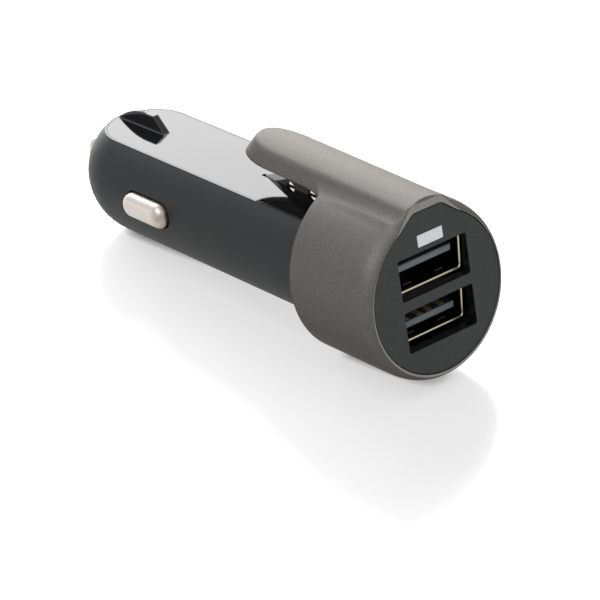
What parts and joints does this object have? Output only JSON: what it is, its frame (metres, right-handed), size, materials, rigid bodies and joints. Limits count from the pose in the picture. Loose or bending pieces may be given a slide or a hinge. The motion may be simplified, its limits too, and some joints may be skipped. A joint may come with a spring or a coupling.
{
  "type": "car usb charger plug",
  "caption": "Car accessory-socket charger plug: round barrel with sprung tip and side contacts, collar with USB ports and lamp, and a hook guarding a belt-cutter blade.",
  "frame": {"origin": "on the barrel's axis, where it crosses the collar's back shoulder", "axes": "+Y along the barrel towards the nose, -Y towards the USB ports, +Z out of the flat side with the blade"},
  "size_m": [0.0276, 0.0845, 0.0296],
  "materials": {
    "barrel_black": "fine matte moulded black",
    "gloss_black": "polished piano black",
    "collar_paint": "satin metallic taupe paint on plastic",
    "panel_dark": "fine matte dark grey",
    "blade_steel": "dark steel with ground edge",
    "shell_plate": "nickel plate",
    "tongue_grey": "grey-blue moulded insulator",
    "contact_gold": "gold flash",
    "lamp_white": "milky diffusing lens",
    "lead_tin": "tinned wire",
    "nickel": "bright nickel plate",
    "spring_steel": "drawn spring wire",
    "terminal_brass": "stamped brass",
    "board_green": "solder mask",
    "chip_black": "moulded package",
    "ferrite": "sintered ferrite",
    "copper_wire": "enamelled copper",
    "capacitor_can": "sleeved can"
  },
  "bodies": {
    "plug": {"barrel_shell": "barrel_black", "top_cover": "gloss_black", "collar": "collar_paint", "front_panel": "panel_dark", "cutter_blade": "blade_steel", "usb_shell_upper": "shell_plate", "usb_shell_lower": "shell_plate", "usb_tongue_upper": "tongue_grey", "usb_tongue_lower": "tongue_grey", "usb_contacts_upper": "contact_gold", "usb_contacts_lower": "contact_gold", "led_lamp": "lamp_white", "led_leads": "lead_tin", "tip_spring": "spring_steel", "tip_terminal": "terminal_brass", "main_board": "board_green", "converter_chip": "chip_black", "catch_diode": "chip_black", "inductor_core": "ferrite", "inductor_winding": "copper_wire", "input_capacitor": "capacitor_can", "output_capacitor": "capacitor_can"},
    "tip": {"tip_contact": "nickel"},
    "ground_left": {"ground_contact_left": "nickel"},
    "ground_right": {"ground_contact_right": "nickel"}
  },
  "joints": [
    {"name": "tip_press", "type": "slide", "parent": "plug", "child": "tip", "axis": [0, -1, 0], "range_m": [0, 0.0022], "stiffness_N_per_m": 300, "springref_m": -0.004, "deforming": ["tip_spring"]},
    {"name": "ground_left_flex", "type": "hinge", "parent": "plug", "child": "ground_left", "pos_m": [-0.0077, 0.0243, 0], "axis": [0, 0, -1], "range_deg": [0, 4], "stiffness_Nm_per_rad": 0.2, "springref_deg": -2.86},
    {"name": "ground_right_flex", "type": "hinge", "parent": "plug", "child": "ground_right", "pos_m": [0.0077, 0.0243, 0], "axis": [0, 0, 1], "range_deg": [0, 4], "stiffness_Nm_per_rad": 0.2, "springref_deg": -2.86}
  ]
}
